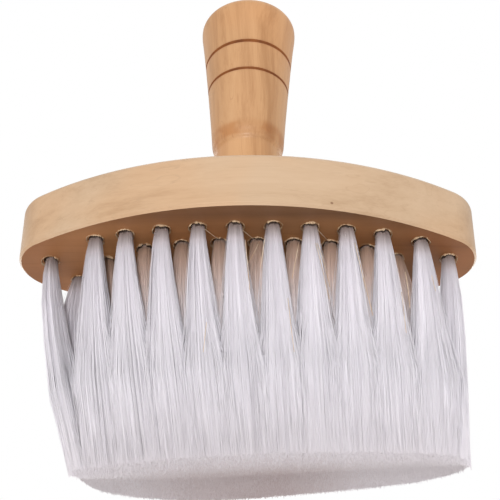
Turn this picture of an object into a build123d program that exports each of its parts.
from build123d import *
import math
import os

# Neck duster brush: an oval wooden head carrying two concentric rings of soft
# filament tufts, with a turned wooden handle glued upright into its top.
# Millimetres, +Z up along the handle, +X along the oval's long axis, front is -Y.
# Origin: below the head's centre, in the plane of the trimmed tuft tips, which is
# where the brush stands. The shapes are drawn from the head's underside (z = 0)
# and lifted by the tufts' free length when they are written out.

# ---- head ----
HEAD_LENGTH = 132.0        # long axis of the oval
HEAD_WIDTH = 56.6          # short axis of the oval
HEAD_END_RADIUS = 13.0     # radius of the oval's ends; long side arcs join them tangentially
HEAD_THICKNESS = 18.0
HEAD_TOP_ROUND = 2.2
HEAD_BOTTOM_BEVEL = 0.6
HEAD_FLARE = 0.4           # the wall leans out by this much per side towards the top

# ---- glued joint ----
TENON_RADIUS = 6.0
TENON_LENGTH = 10.0
TENON_BEVEL = 0.6
SOCKET_RADIUS = TENON_RADIUS + 0.05
SOCKET_DEPTH = TENON_LENGTH + 0.2

# ---- handle; heights are above the head's underside ----
HANDLE_END_Z = 97.2
HANDLE_DOME = 0.5          # crown of the end face
NECK_RADIUS = 9.8          # turned neck between the head and the grip
NECK_FOOT_RADIUS = 10.5    # the neck swells a little where it sits on the head
SHOULDER_Z = 40.7          # where the neck meets the grip's rounded shoulder
NECK_TOP_Z = SHOULDER_Z - 0.9
# grip outline: radius, height
GRIP_PROFILE = [(11.20, 44.6), (11.65, 51.0), (12.25, 58.5), (12.93, 66.4),
                (13.95, 77.5), (14.70, 85.0), (15.28, 90.0), (15.55, 93.4)]
GROOVES = [(77.5, 1.05, 0.62), (66.3, 0.90, 0.55)]   # height, width, depth of each V groove
GROOVE_OVERCUT = 0.4       # the V cutter reaches this far outside the grip

# curve directions (radius, height) along the outline
UPRIGHT = (0.0, 1.0)
NECK_FOOT_SLOPE = (-0.25, 1.0)
GRIP_START_SLOPE = (0.07, 1.0)
END_FACE_RIM_SLOPE = (-1.0, 0.09)
END_FACE_CENTRE_SLOPE = (-1.0, 0.0)

# ---- tufts ----
HOLE_RADIUS = 2.1          # tuft holes drilled into the underside
HOLE_DEPTH = 9.0
TUFT_ROOT_RADIUS = HOLE_RADIUS - 0.05
TUFT_ROOT_TOP = HOLE_DEPTH - 0.2
TUFT_SHOULDER_DROP = 9.0   # the tuft spreads quickly over this length, then slowly
TUFT_SHOULDER_RADIUS = 2.75
TUFT_TIP_RADIUS = 3.35
TUFT_LENGTH = 64.0         # free length below the head, trimmed flat
# the tufts draw together and sweep slightly towards +X and +Y at their tips
TIP_SCALE = (0.87, 0.84)
TIP_SHIFT = (3.7, 3.5)
SHOULDER_LAG = 0.7         # share of the straight-line sweep reached at the tuft's shoulder

# ---- flat wire anchors ----
ANCHOR_SIZE = (5.2, 0.34, 1.7)   # width (more than the hole's, to bite), thickness, height
ANCHOR_TOP_Z = 8.0         # filaments fold over the anchor's top edge
ANCHOR_ANGLE = 35.0        # every anchor is turned by this angle from the long axis

# ---- two concentric drilled rings, staggered against each other ----
RING_CENTRE = (0.6, -0.9)
# half axes, hole x along the front and back runs, holes at the -X and +X ends
OUTER_RING = dict(
    half_axes=(57.3, 17.6),
    front_x=[-42.3, -33.6, -23.4, -13.3, -3.0, 7.4, 17.7, 27.8, 37.9, 48.9],
    back_x=[-49.6, -39.3, -29.1, -18.8, -8.5, 1.8, 12.1, 22.4, 32.7, 42.6, 51.3],
    left_end=(-56.6, -2.4), right_end=(57.8, -2.1))
INNER_RING = dict(
    half_axes=(42.0, 10.0),
    front_x=[-28.8, -18.1, -7.6, 2.9, 13.3, 23.5, 34.0],
    back_x=[-34.2, -23.9, -13.4, -3.1, 7.2, 17.5, 27.8, 37.3],
    left_end=(-40.7, -2.3), right_end=(42.5, -2.5))

STAND_ON = (Align.CENTER, Align.CENTER, Align.MIN)
HANG_FROM = (Align.CENTER, Align.CENTER, Align.MAX)


def ring_holes(half_axes, front_x, back_x, left_end, right_end):
    """Hole centres of one ring, counter-clockwise from the left of its front run."""
    def on_ellipse(x, side):
        across = (x - RING_CENTRE[0]) / half_axes[0]
        return x, RING_CENTRE[1] + side * half_axes[1] * math.sqrt(1.0 - across * across)

    front = [on_ellipse(x, -1) for x in front_x]
    back = [on_ellipse(x, 1) for x in reversed(back_x)]
    return front + [right_end] + back + [left_end]


def anchor_place(x, y):
    """Middle of the top edge of the anchor in the hole at (x, y)."""
    return Location((x, y, ANCHOR_TOP_Z), (0, 0, ANCHOR_ANGLE))


def make_anchor(x, y):
    return anchor_place(x, y) * Box(*ANCHOR_SIZE, align=HANG_FROM)


# ---- oval head ----
def oval(grow):
    """The head's outline, a four-centre oval of tangent arcs, grown outwards by grow."""
    half_length, half_width = HEAD_LENGTH / 2, HEAD_WIDTH / 2
    end_centre = half_length - HEAD_END_RADIUS
    side_radius = ((end_centre ** 2 + half_width ** 2 - HEAD_END_RADIUS ** 2)
                   / (2 * (half_width - HEAD_END_RADIUS)))
    side_centre = side_radius - half_width
    # the arcs join on the line through both their centres
    centre_gap = math.hypot(end_centre, side_centre)
    end_radius = HEAD_END_RADIUS + grow
    join_x = end_centre + end_radius * end_centre / centre_gap
    join_y = end_radius * side_centre / centre_gap
    end_x, side_y = half_length + grow, half_width + grow
    return Wire([
        Edge.make_three_point_arc((-join_x, -join_y), (0, -side_y), (join_x, -join_y)),
        Edge.make_three_point_arc((join_x, -join_y), (end_x, 0), (join_x, join_y)),
        Edge.make_three_point_arc((join_x, join_y), (0, side_y), (-join_x, join_y)),
        Edge.make_three_point_arc((-join_x, join_y), (-end_x, 0), (-join_x, -join_y))])


def make_head(holes):
    top_face = Pos(0, 0, HEAD_THICKNESS) * Face(oval(HEAD_FLARE))
    blank = loft([Face(oval(0.0)), top_face], ruled=True)
    with BuildPart() as head:
        add(blank)
        fillet(head.edges().group_by(Axis.Z)[-1], HEAD_TOP_ROUND)
        chamfer(head.edges().group_by(Axis.Z)[0], HEAD_BOTTOM_BEVEL)
        # blind glue socket for the handle
        with Locations((0, 0, HEAD_THICKNESS)):
            Cylinder(SOCKET_RADIUS, SOCKET_DEPTH, align=HANG_FROM, mode=Mode.SUBTRACT)
        # flat-ended tuft holes, each with the slits its anchor cuts on both sides
        for x, y in holes:
            with Locations((x, y, 0)):
                Cylinder(HOLE_RADIUS, HOLE_DEPTH, align=STAND_ON, mode=Mode.SUBTRACT)
            with Locations(anchor_place(x, y)):
                Box(*ANCHOR_SIZE, align=HANG_FROM, mode=Mode.SUBTRACT)
    return head.part


# ---- turned handle ----
def grip_radius(height):
    """Grip radius at a height, by straight lines between the outline's points."""
    for (low_r, low_z), (high_r, high_z) in zip(GRIP_PROFILE, GRIP_PROFILE[1:]):
        if low_z <= height <= high_z:
            return low_r + (height - low_z) / (high_z - low_z) * (high_r - low_r)


def draw_handle_outline():
    """Half outline of the handle, closed on its axis; x is the radius."""
    tenon_bottom = HEAD_THICKNESS - TENON_LENGTH
    grip_start_radius = GRIP_PROFILE[0][0]
    grip_end_radius, grip_end_z = GRIP_PROFILE[-1]
    end_round = HANDLE_END_Z - HANDLE_DOME - grip_end_z
    end_face_rim = (grip_end_radius - end_round, grip_end_z + end_round)
    diagonal = math.sqrt(0.5)

    # axis, tenon and the ledge that sits on the head
    Polyline((0, HANDLE_END_Z), (0, tenon_bottom),
             (TENON_RADIUS - TENON_BEVEL, tenon_bottom),
             (TENON_RADIUS, tenon_bottom + TENON_BEVEL), (TENON_RADIUS, HEAD_THICKNESS),
             (NECK_FOOT_RADIUS, HEAD_THICKNESS))
    # neck: slight swell at the foot, straight above
    Spline((NECK_FOOT_RADIUS, HEAD_THICKNESS), (NECK_RADIUS + 0.12, HEAD_THICKNESS + 5.0),
           (NECK_RADIUS, HEAD_THICKNESS + 11.0), (NECK_RADIUS, NECK_TOP_Z),
           tangents=(NECK_FOOT_SLOPE, UPRIGHT))
    # small hollow curve up into the rounded shoulder of the grip
    Spline((NECK_RADIUS, NECK_TOP_Z), (NECK_RADIUS + 0.55, SHOULDER_Z + 0.05),
           (grip_start_radius - 0.55, SHOULDER_Z + 1.3), GRIP_PROFILE[0],
           tangents=(UPRIGHT, GRIP_START_SLOPE))
    Spline(*GRIP_PROFILE, tangents=(GRIP_START_SLOPE, UPRIGHT))
    # rounded end and slightly crowned end face
    ThreePointArc(GRIP_PROFILE[-1],
                  (grip_end_radius - (1 - diagonal) * end_round,
                   grip_end_z + diagonal * end_round),
                  end_face_rim)
    Spline(end_face_rim, (0, HANDLE_END_Z),
           tangents=(END_FACE_RIM_SLOPE, END_FACE_CENTRE_SLOPE))


def make_handle():
    with BuildPart() as handle:
        with BuildSketch(Plane.XZ):
            with BuildLine():
                draw_handle_outline()
            make_face()
        revolve(axis=Axis.Z)
        # burnt decorative V grooves around the grip
        for height, width, depth in GROOVES:
            radius = grip_radius(height)
            mouth_radius = radius + GROOVE_OVERCUT
            mouth_half = width / 2 * (1 + GROOVE_OVERCUT / depth)
            with BuildSketch(Plane.XZ):
                with BuildLine():
                    Polyline((radius - depth, height), (mouth_radius, height - mouth_half),
                             (mouth_radius, height + mouth_half), close=True)
                make_face()
            revolve(axis=Axis.Z, mode=Mode.SUBTRACT)
    return handle.part


# ---- one filament tuft ----
def make_tuft(x, y):
    """Folded bundle of filaments: round root in its hole, spreading to a flat trimmed tip."""
    tip_x = x * TIP_SCALE[0] + TIP_SHIFT[0]
    tip_y = y * TIP_SCALE[1] + TIP_SHIFT[1]
    sweep = TUFT_SHOULDER_DROP / TUFT_LENGTH * SHOULDER_LAG
    shoulder = Pos(x + (tip_x - x) * sweep, y + (tip_y - y) * sweep, -TUFT_SHOULDER_DROP)
    root = Pos(x, y, 0) * Cylinder(TUFT_ROOT_RADIUS, TUFT_ROOT_TOP, align=STAND_ON)
    spread = loft([Pos(x, y, 0) * Circle(TUFT_ROOT_RADIUS),
                   shoulder * Circle(TUFT_SHOULDER_RADIUS)], ruled=True)
    body = loft([shoulder * Circle(TUFT_SHOULDER_RADIUS),
                 Pos(tip_x, tip_y, -TUFT_LENGTH) * Circle(TUFT_TIP_RADIUS)], ruled=True)
    return (root + spread + body) - make_anchor(x, y)


# ---- build and write out ----
tuft_places = {}
for ring_name, ring in (("outer", OUTER_RING), ("inner", INNER_RING)):
    for number, place in enumerate(ring_holes(**ring), start=1):
        tuft_places["tuft_%s_%02d" % (ring_name, number)] = place
holes = list(tuft_places.values())

parts = {
    "oval_head": make_head(holes),
    "handle": make_handle(),
    "anchor_staples": Compound(children=[make_anchor(x, y) for x, y in holes]),
}
for name, (x, y) in tuft_places.items():
    parts[name] = make_tuft(x, y)

os.makedirs("parts", exist_ok=True)
lift = Pos(0, 0, TUFT_LENGTH)
for name, part in parts.items():
    export_step(lift * part, "parts/%s.step" % name)
